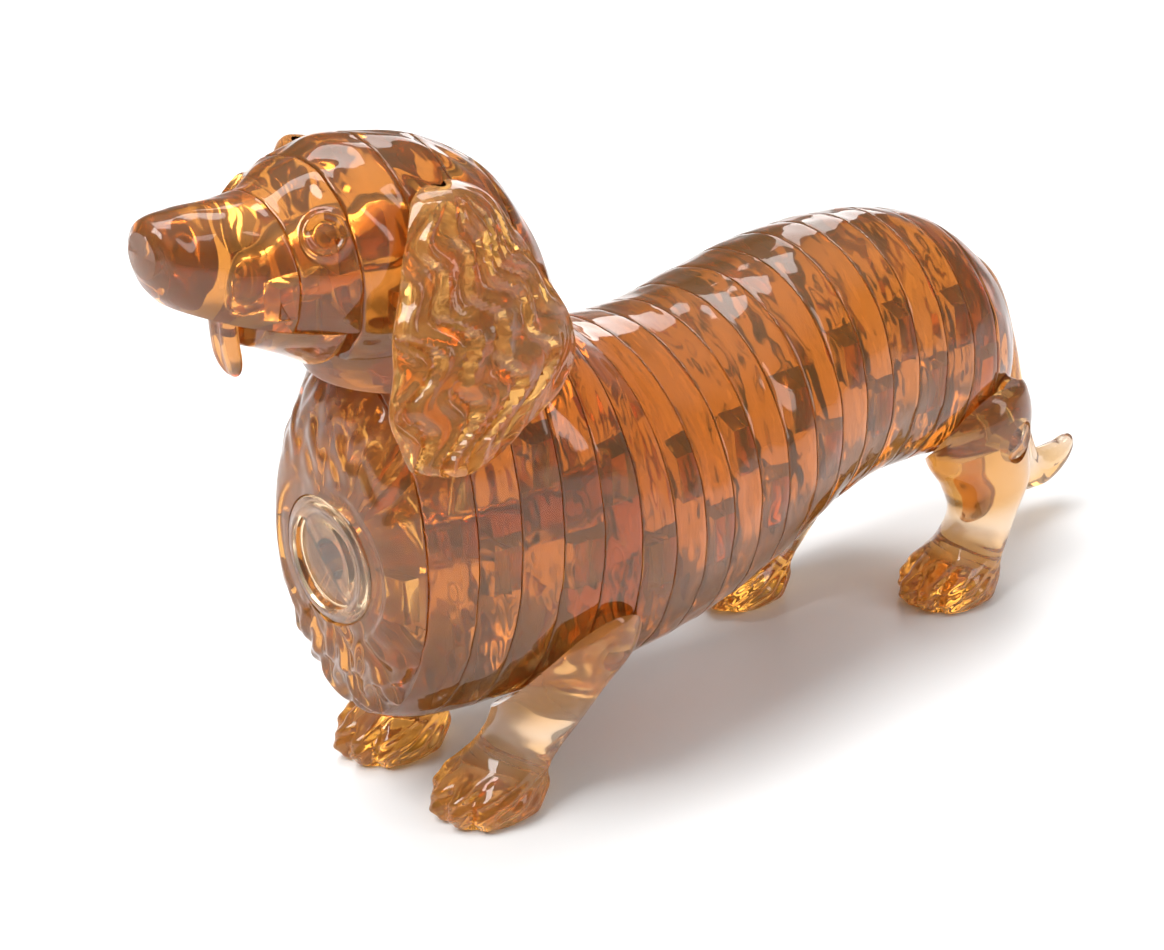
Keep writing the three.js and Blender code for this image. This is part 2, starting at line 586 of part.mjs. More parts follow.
// ---- The puzzle as a scene graph ----
function geometryOf(solid) {
  const mesh = solid.getMesh();
  const positions = new Float32Array(mesh.numVert * 3);
  for (let i = 0; i < mesh.numVert; i++) {
    const start = i * mesh.numProp;
    positions.set(mesh.vertProperties.subarray(start, start + 3), i * 3);
  }
  const geometry = new THREE.BufferGeometry();
  geometry.setAttribute("position", new THREE.BufferAttribute(positions, 3));
  geometry.setIndex(new THREE.BufferAttribute(mesh.triVerts, 1));
  geometry.computeVertexNormals();
  return geometry;
}
const amber = { roughness: 0.06, metalness: 0, transparent: true, opacity: 0.85 };
const COLOURS = { plate: 0xb8692c, limb: 0xc98a4a, pin: 0xd9a86c };
function materialOf(name) {
  if (name.endsWith("_pin")) return new THREE.MeshStandardMaterial({ ...amber, color: COLOURS.pin });
  const isLimb = /leg|tail|ear|tongue/.test(name);
  const color = isLimb ? COLOURS.limb : COLOURS.plate;
  return new THREE.MeshStandardMaterial({ ...amber, color });
}
const dog = new THREE.Group();
for (const [name, solid] of Object.entries(pieces)) {
  const mesh = new THREE.Mesh(geometryOf(solid), materialOf(name));
  mesh.name = name;
  dog.add(mesh);
}
// The origin is on the ground, under the middle of the whole dog.
const bounds = new THREE.Box3().setFromObject(dog);
dog.position.set(-(bounds.min.x + bounds.max.x) / 2, -(bounds.min.y + bounds.max.y) / 2, -bounds.min.z);

export default dog;
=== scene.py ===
import math

import bpy
import numpy as np
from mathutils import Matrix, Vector


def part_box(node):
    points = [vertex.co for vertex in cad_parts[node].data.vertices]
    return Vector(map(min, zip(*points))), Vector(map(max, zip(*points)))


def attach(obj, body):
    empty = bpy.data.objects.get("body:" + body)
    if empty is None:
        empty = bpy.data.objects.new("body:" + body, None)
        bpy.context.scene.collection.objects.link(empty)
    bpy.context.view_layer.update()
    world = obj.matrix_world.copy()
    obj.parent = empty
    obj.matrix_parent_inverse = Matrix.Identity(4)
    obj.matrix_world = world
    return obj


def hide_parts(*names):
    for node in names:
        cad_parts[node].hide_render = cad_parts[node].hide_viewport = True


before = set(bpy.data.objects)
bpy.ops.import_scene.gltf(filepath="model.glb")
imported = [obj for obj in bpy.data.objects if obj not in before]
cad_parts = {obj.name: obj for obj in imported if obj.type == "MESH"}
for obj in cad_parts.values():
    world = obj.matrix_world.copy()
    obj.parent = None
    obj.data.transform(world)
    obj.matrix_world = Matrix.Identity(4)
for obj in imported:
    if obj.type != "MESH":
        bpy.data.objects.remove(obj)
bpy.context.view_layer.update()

# ---- The table, the light and the point of view ----
# The dog stands on a plain pale table in a soft studio light. A square window-like panel gives the
# long highlights, one above lights the back, and two narrow ones draw the edges of the plates.
MM = 0.001
table_size = 12.0
table_drop = 0.02
bpy.ops.mesh.primitive_plane_add(size=table_size, location=(0, 0, -table_drop * MM))
table = bpy.context.object
table.name = "table"


class Wire:
    """A number inside a material. A sum or product of it, or what it leaves of a number that it is
    taken from, adds a Math node."""

    def __init__(self, tree, socket):
        self.tree = tree
        self.socket = socket

    def maths(self, operation, first, second):
        node = self.tree.nodes.new("ShaderNodeMath")
        node.operation = operation
        for slot, value in enumerate((first, second)):
            if isinstance(value, Wire):
                self.tree.links.new(value.socket, node.inputs[slot])
            else:
                node.inputs[slot].default_value = value
        return Wire(self.tree, node.outputs[0])

    def __add__(self, other):
        return self.maths("ADD", self, other)

    def __rsub__(self, other):
        return self.maths("SUBTRACT", other, self)

    def __mul__(self, other):
        return self.maths("MULTIPLY", self, other)


class Finish:
    """A material being made, which starts as an empty tree with an output."""

    def __init__(self, name):
        self.material = bpy.data.materials.new(name)
        self.material.use_nodes = True
        self.tree = self.material.node_tree
        self.tree.nodes.clear()
        self.output = self.tree.nodes.new("ShaderNodeOutputMaterial")

    def node(self, kind, settings=None, **sockets):
        """Adds a node: first its settings, then a value or wire for each socket (_ for a space)."""
        node = self.tree.nodes.new("ShaderNode" + kind)
        for name, value in (settings or {}).items():
            setattr(node, name, value)
        for name, value in sockets.items():
            socket = node.inputs[name.replace("_", " ")]
            if isinstance(value, Wire):
                self.tree.links.new(value.socket, socket)
            else:
                socket.default_value = value
        return node

    def wire(self, node, output=0):
        return Wire(self.tree, node.outputs[output])

    def show(self, node, socket="Surface"):
        self.tree.links.new(node.outputs[0], self.output.inputs[socket])


def painted_board(name, colour, grain):
    """Matt paint on board: an even colour with a faint mottle of the roller."""
    paint = Finish(name)
    place = paint.wire(paint.node("TexCoord"), "Object")
    mottle = paint.wire(paint.node("TexNoise", Vector=place, Scale=grain, Detail=4.0), "Fac")
    bump = paint.node("Bump", Height=mottle, Strength=0.05, Distance=0.2 * MM)
    shader = paint.node(
        "BsdfPrincipled",
        Base_Color=colour,
        Roughness=mottle * 0.1 + 0.6,
        Normal=paint.wire(bump),
    )
    paint.show(shader)
    return paint.material


table.data.materials.append(painted_board("table_paint", (0.93, 0.93, 0.93, 1), 60.0))

sky = bpy.data.worlds.new("studio")
sky.use_nodes = True
sky_tree = sky.node_tree
sky_tree.nodes.clear()
sky_place = sky_tree.nodes.new("ShaderNodeTexCoord")
sky_split = sky_tree.nodes.new("ShaderNodeSeparateXYZ")
sky_ramp = sky_tree.nodes.new("ShaderNodeValToRGB")
sky_ramp.color_ramp.elements[0].position = 0.0
sky_ramp.color_ramp.elements[0].color = (0.55, 0.55, 0.55, 1)
sky_ramp.color_ramp.elements[1].position = 1.0
sky_ramp.color_ramp.elements[1].color = (1, 1, 1, 1)
for height, grey in ((0.16, 0.3), (0.45, 0.16), (0.72, 0.6)):
    stop = sky_ramp.color_ramp.elements.new(height)
    stop.color = (grey, grey, grey, 1)
sky_light = sky_tree.nodes.new("ShaderNodeBackground")
sky_light.inputs["Strength"].default_value = 0.95
sky_output = sky_tree.nodes.new("ShaderNodeOutputWorld")
sky_tree.links.new(sky_place.outputs["Generated"], sky_split.inputs[0])
sky_tree.links.new(sky_split.outputs["Z"], sky_ramp.inputs[0])
sky_tree.links.new(sky_ramp.outputs[0], sky_light.inputs["Color"])
sky_tree.links.new(sky_light.outputs[0], sky_output.inputs["Surface"])
bpy.context.scene.world = sky

target = Vector((-15.6, 0, 31.9)) * MM
azimuth = math.radians(-41.13)
elevation = math.radians(26.42)
distance = 352 * MM


def from_side(turn, rise, reach):
    """The point that far from the dog's middle, turned round it and raised by angles in degrees."""
    turn, rise = math.radians(turn), math.radians(rise)
    level = math.cos(rise)
    back = Vector((math.sin(turn) * level, -math.cos(turn) * level, math.sin(rise)))
    return target + back * reach


for name, turn, rise, reach, width, height, watts in (
    ("window_panel", -95, 52, 0.75, 0.4, 0.4, 5.0),
    ("right_strip", 30, 30, 0.7, 0.12, 0.6, 0.8),
    ("top_panel", 160, 74, 0.8, 0.6, 0.35, 3.6),
    ("rear_strip", 130, 25, 0.8, 0.15, 0.6, 0.9),
):
    lamp = bpy.data.lights.new(name, "AREA")
    lamp.shape = "RECTANGLE"
    lamp.size = width
    lamp.size_y = height
    lamp.energy = watts
    holder = bpy.data.objects.new(name, lamp)
    holder.location = from_side(turn, rise, reach)
    holder.rotation_euler = (holder.location - target).to_track_quat("Z", "Y").to_euler()
    bpy.context.collection.objects.link(holder)

lens = bpy.data.cameras.new("camera")
lens.lens = 94.02
lens.sensor_width = 36.0
lens.clip_start = 0.01
camera = bpy.data.objects.new("camera", lens)
camera.location = from_side(math.degrees(azimuth), math.degrees(elevation), distance)
camera.rotation_euler = (camera.location - target).to_track_quat("Z", "Y").to_euler()
bpy.context.collection.objects.link(camera)
bpy.context.scene.camera = camera
bpy.context.scene.view_settings.view_transform = "Standard"
bpy.context.scene.cycles.max_bounces = 28
bpy.context.scene.cycles.transmission_bounces = 28
bpy.context.scene.cycles.glossy_bounces = 12
bpy.context.scene.cycles.transparent_max_bounces = 16

# ---- Body plates ----
# Eighteen upright slices of clear amber plastic, injection moulded with a polished finish. Two
# square lugs on the front of each push into the sockets of the one ahead, and its rim is slightly
# rounded.
GAP = 0.3
SEAM = 0.1
RIM = 0.14
PLATE_COUNT = 18
NECK_BOTTOM = 55.0
bib_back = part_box("chest_bib")[1].x / MM + GAP / 2
body_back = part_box("body_plate_18")[1].x / MM + GAP / 2
pitch = (body_back - bib_back) / PLATE_COUNT
chest_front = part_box("chest_lock_pin")[0].x / MM
rump_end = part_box("rump")[1].x / MM
shoulder_end = bib_back + 6.6 * pitch
back_length = body_back - shoulder_end


def through(rows):
    """A smooth curve through rows of a position and values: between two rows it is the cubic whose
    slope at a row is that of the straight line from the row before it to the row after it."""
    rows = np.array(sorted(rows), float)
    place, values = rows[:, 0], rows[:, 1:]
    before = np.maximum(np.arange(len(place)) - 1, 0)
    after = np.minimum(np.arange(len(place)) + 1, len(place) - 1)
    slope = (values[after] - values[before]) / (place[after] - place[before])[:, None]

    def at(where):
        where = np.asarray(where, float)
        i = np.clip(np.searchsorted(place, where, side="right") - 1, 0, len(place) - 2)
        step = place[i + 1] - place[i]
        u = np.clip((where - place[i]) / step, 0, 1)[..., None]
        step = step[..., None]
        rise = u * u * (3 - 2 * u)
        leave = u * (1 - u) ** 2 * step * slope[i]
        arrive = u * u * (u - 1) * step * slope[i + 1]
        return np.moveaxis(values[i] + (values[i + 1] - values[i]) * rise + leave + arrive, -1, 0)

    return at


BODY = [
    (chest_front, 38, 28, 4),
    (bib_back - 3.8, 46, 20.6, 9),
    (bib_back - 2.3, 52, 16.2, 11.4),
    (bib_back, 56, 13.4, 13),
    (bib_back + 0.6 * pitch, 60, 11.8, 14.8),
    (bib_back + 1.4 * pitch, 62.5, 10.9, 16.1),
    (bib_back + 2.75 * pitch, 63, 10.4, 17.8),
    (bib_back + 4.2 * pitch, 59, 10.3, 19.3),
    (bib_back + 5.4 * pitch, 54.4, 10.2, 20),
    (shoulder_end, 51.2, 10.4, 19.9),
    (shoulder_end + 0.22 * back_length, 50.1, 11.6, 18.4),
    (shoulder_end + 0.4 * back_length, 51.8, 14.2, 17.4),
    (shoulder_end + 0.56 * back_length, 53.4, 17.4, 15.9),
    (shoulder_end + 0.74 * back_length, 53.4, 19.2, 15),
    (shoulder_end + 0.88 * back_length, 52.2, 19, 15),
    (body_back, 49.8, 18.6, 14.4),
    (body_back + 5.3, 45.8, 19.6, 12.2),
    (body_back + 9.3, 39.8, 22.4, 8.4),
    (rump_end, 33.5, 26.5, 3.5),
]
body_at = through(BODY)


def surface(name, points, material=None):
    """A closed mesh over a grid of points: its columns go round, and each end row closes in a fan
    on its own middle. The faces are turned outwards by the sign of the volume they enclose."""
    rows, columns = points.shape[:2]
    ends = np.stack([points[0].mean(0), points[-1].mean(0)])
    vertices = np.concatenate([points.reshape(-1, 3), ends])
    here = np.arange(columns)
    beside = (here + 1) % columns
    start = (np.arange(rows - 1) * columns)[:, None]
    below, across = start + here, start + beside
    quads = np.stack([below, across, across + columns, below + columns], -1).reshape(-1, 4)
    last = (rows - 1) * columns
    pole = np.full(columns, rows * columns)
    fans = np.concatenate([
        np.stack([pole, beside, here], -1),
        np.stack([pole + 1, last + here, last + beside], -1),
    ])
    halves = np.concatenate([quads[:, [0, 1, 2]], quads[:, [0, 2, 3]], fans])
    a, b, c = (vertices[halves[:, k]] for k in range(3))
    if np.einsum("ij,ij->i", a, np.cross(b, c)).sum() < 0:
        quads, fans = quads[:, ::-1], fans[:, ::-1]
    mesh = bpy.data.meshes.new(name)
    mesh.from_pydata((vertices * MM).tolist(), [], quads.tolist() + fans.tolist())
    mesh.validate()
    piece = bpy.data.objects.new(name, mesh)
    bpy.context.collection.objects.link(piece)
    if material:
        mesh.materials.append(material)
    return piece


def tapered(profile, outline, sides):
    """Points of a slice: each profile step is a place and an inset, and gives the oval outline
    there, drawn in by the inset all round."""
    place, inset = np.array(profile, float).T
    top, bottom, half_width = outline(place)
    t = np.linspace(0, 2 * math.pi, sides, endpoint=False)
    wide = np.maximum(half_width - inset, 0.02)[:, None] * np.cos(t)
    high = np.maximum((top - bottom) / 2 - inset, 0.02)[:, None] * np.sin(t)
    along = np.broadcast_to(place[:, None], wide.shape)
    return np.stack([along, wide, (top + bottom)[:, None] / 2 + high], -1)


def ripples(points, depth):
    """The points moved in towards the middle line by a slow uneven relief: the sum of three waves
    that cross at odd angles and bend each other, less their highest crest."""
    x, y, z = np.moveaxis(points, -1, 0)
    wave = np.sin(0.8 * x + 0.5 * z + 1.4 * np.sin(0.31 * y + 0.23 * x))
    wave = wave + 0.7 * np.sin(1.1 * z - 0.6 * y + 1.2 * np.sin(0.47 * x))
    wave = wave + 0.5 * np.sin(1.9 * y + 0.9 * x - 0.7 * z)
    middle = (z.max(-1) + z.min(-1))[..., None] / 2
    reach = np.hypot(y, z - middle) + 0.5
    out = np.stack([0 * x, y / reach, (z - middle) / reach], -1)
    return points + out * (depth * (wave - 2.2))[..., None]


def slice_profile(front, back, edge, step=0.5):
    """Places and insets of a slice's skin, with a quarter round of radius edge at both rims."""
    turn = np.linspace(0, math.pi / 2, 4)
    rim = np.stack([front + edge * (1 - np.cos(turn)), edge * (1 - np.sin(turn))], -1)
    count = max(2, int((back - front) / step))
    skin = np.linspace(front + edge, back - edge, count)[1:-1]
    skin = np.stack([skin, 0 * skin], -1)
    rear = np.stack([back - edge * (1 - np.cos(turn[::-1])), edge * (1 - np.sin(turn[::-1]))], -1)
    return np.concatenate([rim, skin, rear])


def block(low, high):
    """A box from its lowest to its highest corner, as four rings of points round its own axis."""
    low, high = np.array(low, float), np.array(high, float)
    middle, half = (low + high) / 2, (high - low) / 2
    square = np.array([(-1, -1), (1, -1), (1, 1), (-1, 1)], float)
    ring = np.stack([np.ones(4), square[:, 0], square[:, 1]], -1)
    return surface("block", np.stack([middle + half * ring * (-1, 1, 1), middle + half * ring]))


def rod(start, end, radius, sides=32, edge=0.0):
    """A round bar from one point to another, both its rims rounded to the radius of its edge."""
    start, end = np.array(start, float), np.array(end, float)
    axis = (end - start) / np.linalg.norm(end - start)
    aside = np.cross(axis, (0, 0, 1) if abs(axis[2]) < 0.9 else (0, 1, 0))
    aside /= np.linalg.norm(aside)
    up = np.cross(axis, aside)
    t = np.linspace(0, 2 * math.pi, sides, endpoint=False)[:, None]
    ring = np.cos(t) * aside + np.sin(t) * up
    turn = np.linspace(0, math.pi / 2, 6) if edge else np.array([math.pi / 2])
    inset = edge * (1 - np.cos(turn))
    size = np.maximum(radius - edge * (1 - np.sin(turn)), 0.02)
    steps = [(start + off * axis, wide) for off, wide in zip(inset, size)]
    steps += [(end - off * axis, wide) for off, wide in zip(inset[::-1], size[::-1])]
    return surface("rod", np.stack([place + wide * ring for place, wide in steps]))


SHARP_EDGE = math.radians(35)


def worked(piece, cut=(), add=()):
    """The piece with other solids added and then cut away. The tools are used up, apart from those
    marked as kept, and the surface is smoothed everywhere but along its sharp edges."""
    for operation, tools in (("UNION", add), ("DIFFERENCE", cut)):
        for tool in tools:
            step = piece.modifiers.new(operation, "BOOLEAN")
            step.operation = operation
            step.solver = "MANIFOLD"
            step.object = tool
    if piece.modifiers:
        depsgraph = bpy.context.evaluated_depsgraph_get()
        made = bpy.data.meshes.new_from_object(piece.evaluated_get(depsgraph))
        piece.modifiers.clear()
        piece.data = made
    made = piece.data
    made.name = piece.name
    for tool in {*add, *cut}:
        if not tool.get("kept"):
            bpy.data.objects.remove(tool)
    made.shade_smooth()
    made.set_sharp_from_angle(angle=SHARP_EDGE)
    return piece


LUG_OUT = 0.68
LUG_HIGH = 0.32
LUG_LOW = -0.12
LUG_ROOT = 0.6


def lug_places(outline, where, count):
    """Middles of the two lugs at a joint, out to each side, and high and low by turns."""
    top, bottom, half_width = outline(where)
    rise = LUG_HIGH if count % 2 else LUG_LOW
    height = (top + bottom) / 2 + rise * (top - bottom) / 2
    return [(side * half_width * LUG_OUT, height) for side in (-1, 1)]


def lugs(outline, where, count, size, room=0.0):
    """The two lugs at a joint as solids, or with room around them, the sockets that take them."""
    length, width, height = size
    return [
        block(
            (where - SEAM / 2 - length - room, y - width / 2 - room, z - height / 2 - room),
            (where + LUG_ROOT - SEAM, y + width / 2 + room, z + height / 2 + room),
        )
        for y, z in lug_places(outline, where, count)
    ]


FLOW_CONTRAST = 0.1
SHANK_FADE = 4.0


def crystal(name, tint, density, colour, clear, ripple, shank=None):
    """Clear coloured polystyrene: light through it is tinted by the depth that it crosses, and the
    share that isn't clear is a faint haze of the same plastic. Flow lines of the moulding vary its
    shade and gloss, and its walls carry a slow ripple. A shank is a clear stretch between two
    heights, given with its colour and that of the foot below it, which is painted lighter as
    painted light against the shade near the table."""
    plastic = Finish(name)
    place = plastic.wire(plastic.node("TexCoord"), "Object")
    flow = plastic.node("TexNoise", Vector=place, Scale=90.0, Detail=3.0, Distortion=1.2)
    flow = plastic.wire(flow, "Fac")
    swell = plastic.wire(plastic.node("TexNoise", Vector=place, Scale=170.0, Detail=1.0), "Fac")
    paler = [c + FLOW_CONTRAST * (1 - c) for c in colour]
    shade = plastic.node("MixRGB", Fac=flow, Color1=(*colour, 1), Color2=(*paler, 1))
    if shank:
        low, high, light, paw_painted_lighter = shank
        level = plastic.wire(plastic.node("SeparateXYZ", Vector=place), "Z")
        clear_from, clear_to = (low + SHANK_FADE) * MM, (high - SHANK_FADE) * MM
        above = plastic.node("MapRange", From_Min=low * MM, From_Max=clear_from, Value=level)
        below = plastic.node("MapRange", From_Min=high * MM, From_Max=clear_to, Value=level)
        between = plastic.wire(above) * plastic.wire(below)
        shade = plastic.wire(shade)
        shade = plastic.node("MixRGB", Fac=between, Color1=shade, Color2=(*light, 1))
        # Below the shank the foot's colour, painted lighter as painted light against the shade near
        # the table.
        under = 1 - plastic.wire(above)
        shade = plastic.wire(shade)
        shade = plastic.node("MixRGB", Fac=under, Color1=shade, Color2=(*paw_painted_lighter, 1))
    bump = plastic.node("Bump", Height=swell, Strength=ripple, Distance=1.0 * MM)
    shader = plastic.node(
        "BsdfPrincipled",
        Base_Color=plastic.wire(shade),
        Roughness=flow * 0.07 + 0.02,
        IOR=1.53,
        Specular_IOR_Level=0.32,
        Transmission_Weight=clear,
        Normal=plastic.wire(bump),
    )
    plastic.show(shader)
    depth = plastic.node("VolumeAbsorption", Color=(*tint, 1), Density=density)
    plastic.show(depth, "Volume")
    return plastic.material


amber = crystal("amber_crystal", (0.82, 0.50, 0.08), 63.0, (0.75, 0.35, 0.045), 0.9, 0.4)
BODY_LUG = (1.8, 4.0, 5.0)
LUG_ROOM = 0.16
BODY_SIDES = 120
PLATE_RIPPLE = 0.05


def fitted(piece, node):
    """Puts a finished piece in the place of its node, on the body of the same name."""
    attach(piece, node)
    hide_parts(node)


BEYOND = 200
ACROSS = 60


def everything_above(height):
    """A slab far wider than the dog, from the given height upwards."""
    return block((-BEYOND, -BEYOND, height), (BEYOND, BEYOND, BEYOND))


PIN_HEIGHT = 33.6
PIN_RADIUS = 2.4
PIN_PLATES = 5
PIN_ROOM = 0.14
pin_end = bib_back + pitch * PIN_PLATES - 1
open_air = chest_front - 5
PEG_RADIUS = 1.6
PEG_LENGTH = 3.0
PEG_ROOM = 0.14
SHOULDER_PEG = {"z": 20, "start": 17.5, "end": 12}
NECK_PLATE_HOST = 3
PLATES_UNDER_NECK = 6
SHOULDER_HOST = 5
neck_peg_x = bib_back + pitch * (NECK_PLATE_HOST - 0.5)
shoulder_x = bib_back + pitch * (SHOULDER_HOST - 0.5)


def neck_peg(room):
    top, bottom = NECK_BOTTOM + 1, NECK_BOTTOM - PEG_LENGTH - room
    return rod((neck_peg_x, 0, top), (neck_peg_x, 0, bottom), PEG_RADIUS + room)


def side_peg(x, peg, side, room):
    """A limb's peg, from inside the limb to its end in the body, on the side that is -1 or 1."""
    start, end, z = side * peg["start"], side * (peg["end"] - room), peg["z"]
    return rod((x, start, z), (x, end, z), PEG_RADIUS + room)


def shoulder_peg(side, room):
    return side_peg(shoulder_x, SHOULDER_PEG, side, room)


def pin_bore():
    end = pin_end + PIN_ROOM
    return rod((open_air, 0, PIN_HEIGHT), (end, 0, PIN_HEIGHT), PIN_RADIUS + PIN_ROOM)


for number in range(1, PLATE_COUNT + 1):
    front = bib_back + pitch * (number - 1)
    profile = slice_profile(front + SEAM / 2, front + pitch - SEAM / 2, RIM)
    skin = ripples(tapered(profile, body_at, BODY_SIDES), PLATE_RIPPLE)
    plate = surface(f"amber_plate_{number:02d}", skin, amber)
    cuts = lugs(body_at, front + pitch, number, BODY_LUG, LUG_ROOM)
    if number <= PIN_PLATES:
        cuts.append(pin_bore())
    if number == NECK_PLATE_HOST:
        cuts.append(neck_peg(PEG_ROOM))
    if number == SHOULDER_HOST:
        cuts += [shoulder_peg(-1, PEG_ROOM), shoulder_peg(1, PEG_ROOM)]
    if front < bib_back + PLATES_UNDER_NECK * pitch:
        cuts.append(everything_above(NECK_BOTTOM - SEAM / 2))
    worked(plate, cuts, lugs(body_at, front, number - 1, BODY_LUG))
    fitted(plate, f"body_plate_{number:02d}")

# ---- Chest bib ----
# The front of the chest, moulded with locks of fur that sweep down from the pin's round seat. It
# pushes onto the first plate and is the last of the row to go on.
HEAD_RADIUS = 7.4
HEAD_LENGTH = 1.9
seat_end = chest_front + HEAD_LENGTH


def fur(points, strength, low, high):
    """The points moved forwards and outwards, or back, by locks of fur between two heights: two
    waves across each other, each bent by the other, whose product makes staggered flame shapes."""
    x, y, z = np.moveaxis(points, -1, 0)
    fade = np.clip((high - z) / 5, 0, 1) * np.clip((z - low) / 4, 0, 1)
    lock = np.sin(1.25 * y + 1.5 * np.sin(0.62 * z)) * np.sin(0.85 * z + 1.1 * np.sin(1.3 * y))
    out = np.stack([-0.7 + 0 * x, 0.7 * y / 14, (z - 34) / 40], -1)
    out /= np.linalg.norm(out, axis=-1, keepdims=True)
    return points + out * (strength * fade * (lock - 0.5))[..., None]


DISH_RADIUS = 9.9
DISH_EDGE = 0.9
DISH_DEPTH = 0.45


def dished(points):
    """The points moved back round the pin, on both sides of the chest's middle, so that its seat
    lies in a shallow dish: the drop is a smooth step of the distance from the pin's axis."""
    x, y, z = np.moveaxis(points, -1, 0)
    off = np.clip((DISH_RADIUS - np.hypot(y, z - PIN_HEIGHT)) / DISH_EDGE, 0, 1)
    drop = DISH_DEPTH * off * off * (3 - 2 * off) * np.clip((np.abs(y) - 1.5) / 3, 0, 1)
    return points + np.stack([drop, 0 * x, 0 * x], -1)


bib_skin = np.linspace(0, 1, 80)[1:] ** 1.6
bib_end = bib_back - SEAM / 2
bib_profile = [(chest_front, 0)]
bib_profile += [(chest_front + (bib_end - 0.3 - chest_front) * s, 0) for s in bib_skin]
bib_profile += [(bib_end - 0.1, 0.1), (bib_end, 0.3)]
BIB_SIDES = 240
bib_points = fur(tapered(bib_profile, body_at, BIB_SIDES), 0.55, 12, 28)
bib_points = dished(fur(bib_points, 0.2, 41, 57))
bib = surface("chest_fur_bib", bib_points, amber)
seat_back = (seat_end + PIN_ROOM, 0, PIN_HEIGHT)
seat = rod((open_air, 0, PIN_HEIGHT), seat_back, HEAD_RADIUS + PIN_ROOM, 64)
bib_cuts = [*lugs(body_at, bib_back, 0, BODY_LUG, LUG_ROOM), pin_bore(), seat]
bib_cuts.append(everything_above(NECK_BOTTOM - SEAM / 2))
worked(bib, bib_cuts)
fitted(bib, "chest_bib")

# ---- Chest pin ----
# The lock of the body: a long pin through the bib and five plates. Its round head fills the seat in
# the bib, with a raised rim and a half-moon notch for a fingernail.
pale = crystal("pale_crystal", (0.86, 0.62, 0.3), 55.0, (0.90, 0.70, 0.46), 0.94, 0.2)


def chest_skin(y, z):
    """How far forward the chest's surface is over each point: the first place along the body whose
    oval outline takes the point in, set between two close steps by the line through them."""
    place = np.linspace(chest_front, bib_back, 200)
    top, bottom, half_width = body_at(place)
    middle, half_height = (top + bottom) / 2, (top - bottom) / 2
    off = (y[..., None] / half_width) ** 2 + ((z[..., None] - middle) / half_height) ** 2
    first = np.maximum(np.argmax(off <= 1, -1), 1)
    after = np.take_along_axis(off, first[..., None], -1)[..., 0]
    before = np.take_along_axis(off, first[..., None] - 1, -1)[..., 0]
    share = np.clip((before - 1) / np.maximum(before - after, 1e-6), 0, 1)
    return place[first - 1] + share * (place[1] - place[0])


EDGE = 0.35
SUNK = 0.3
turn = np.linspace(0, math.pi / 2, 6)[1:]
flat = np.linspace(0.05, HEAD_RADIUS - EDGE, 48)
radii = np.concatenate([flat, HEAD_RADIUS - EDGE + EDGE * np.sin(turn)])
lows = np.concatenate([0 * flat, EDGE * (1 - np.cos(turn))])
t = np.linspace(0, 2 * math.pi, 120, endpoint=False)
disc_y = radii[:, None] * np.cos(t)
disc_z = PIN_HEIGHT + radii[:, None] * np.sin(t)
ridge = 0.25 * np.exp(-(((radii - 6.2) / 0.5) ** 2))
groove = 0.225 * np.exp(-(((radii - 5.0) / 0.6) ** 2))
disc_x = chest_skin(disc_y, disc_z) + (SUNK + lows - ridge + groove)[:, None]
head_points = np.stack([disc_x, disc_y, disc_z], -1)
back_ring = head_points[-1].copy()
back_ring[:, 0] = seat_end
pin = surface("chest_pin", np.concatenate([head_points, back_ring[None]]), pale)
NOTCH_RADIUS = 5.6
NOTCH_DEPTH = 1.25
NOTCH_TURN = math.radians(45)
notch_floor = (chest_front + NOTCH_DEPTH, 0, PIN_HEIGHT)
notch = rod((open_air, 0, PIN_HEIGHT), notch_floor, NOTCH_RADIUS, 64, 0.3)
across, up = np.array([(-30, -0.4), (30, -0.4), (30, 60), (-30, 60)]).T
half_y = across * math.cos(NOTCH_TURN) - up * math.sin(NOTCH_TURN)
half_z = PIN_HEIGHT + across * math.sin(NOTCH_TURN) + up * math.cos(NOTCH_TURN)
half_ends = [np.stack([0 * half_y + x, half_y, half_z], -1) for x in (-BEYOND, BEYOND)]
worked(notch, [surface("other_half", np.stack(half_ends))])
shank = rod((seat_end - 1, 0, PIN_HEIGHT), (pin_end, 0, PIN_HEIGHT), PIN_RADIUS, 48, 0.2)
worked(pin, [notch], [shank])
fitted(pin, "chest_lock_pin")

# ---- Rump ----
# The rear end, one smooth egg-shaped shell of plastic. The thighs and the tail peg into it, and the
# hip pin crosses it.
HIP_PIN = {"z": 23.5, "reach": 16.2, "radius": 1.5, "head": 2.6, "length": 1.6}
hip_x = body_back + 2.9
HIND_PEG = {"z": 30.2, "start": 14.8, "end": 9.8}
hind_peg_x = body_back + 2.3
TAIL_PEG = {"start": body_back + 13.8, "z": 30.0, "end": body_back + 7.3}


def hip_bore():
    z, radius = HIP_PIN["z"], HIP_PIN["radius"] + PIN_ROOM
    return rod((hip_x, -ACROSS, z), (hip_x, ACROSS, z), radius)


def hind_peg(side, room):
    return side_peg(hind_peg_x, HIND_PEG, side, room)


def tail_peg(room):
    start, end, z = TAIL_PEG["start"], TAIL_PEG["end"] - room, TAIL_PEG["z"]
    return rod((start, 0, z), (end, 0, z), PEG_RADIUS + room)


rump_skin = 1 - (1 - np.linspace(0, 1, 40)) ** 1.5
rump_front = body_back + SEAM / 2
rump_profile = [(rump_front, 0.28), (rump_front + 0.08, 0.08)]
rump_profile += [(rump_front + 0.28 + (rump_end - rump_front - 0.28) * s, 0) for s in rump_skin]
rump_points = ripples(tapered(rump_profile, body_at, BODY_SIDES), PLATE_RIPPLE)
rump = surface("rump_shell", rump_points, amber)
worked(
    rump,
    [hip_bore(), hind_peg(-1, PEG_ROOM), hind_peg(1, PEG_ROOM), tail_peg(PEG_ROOM)],
    lugs(body_at, body_back, PLATE_COUNT, BODY_LUG),
)
fitted(rump, "rump")

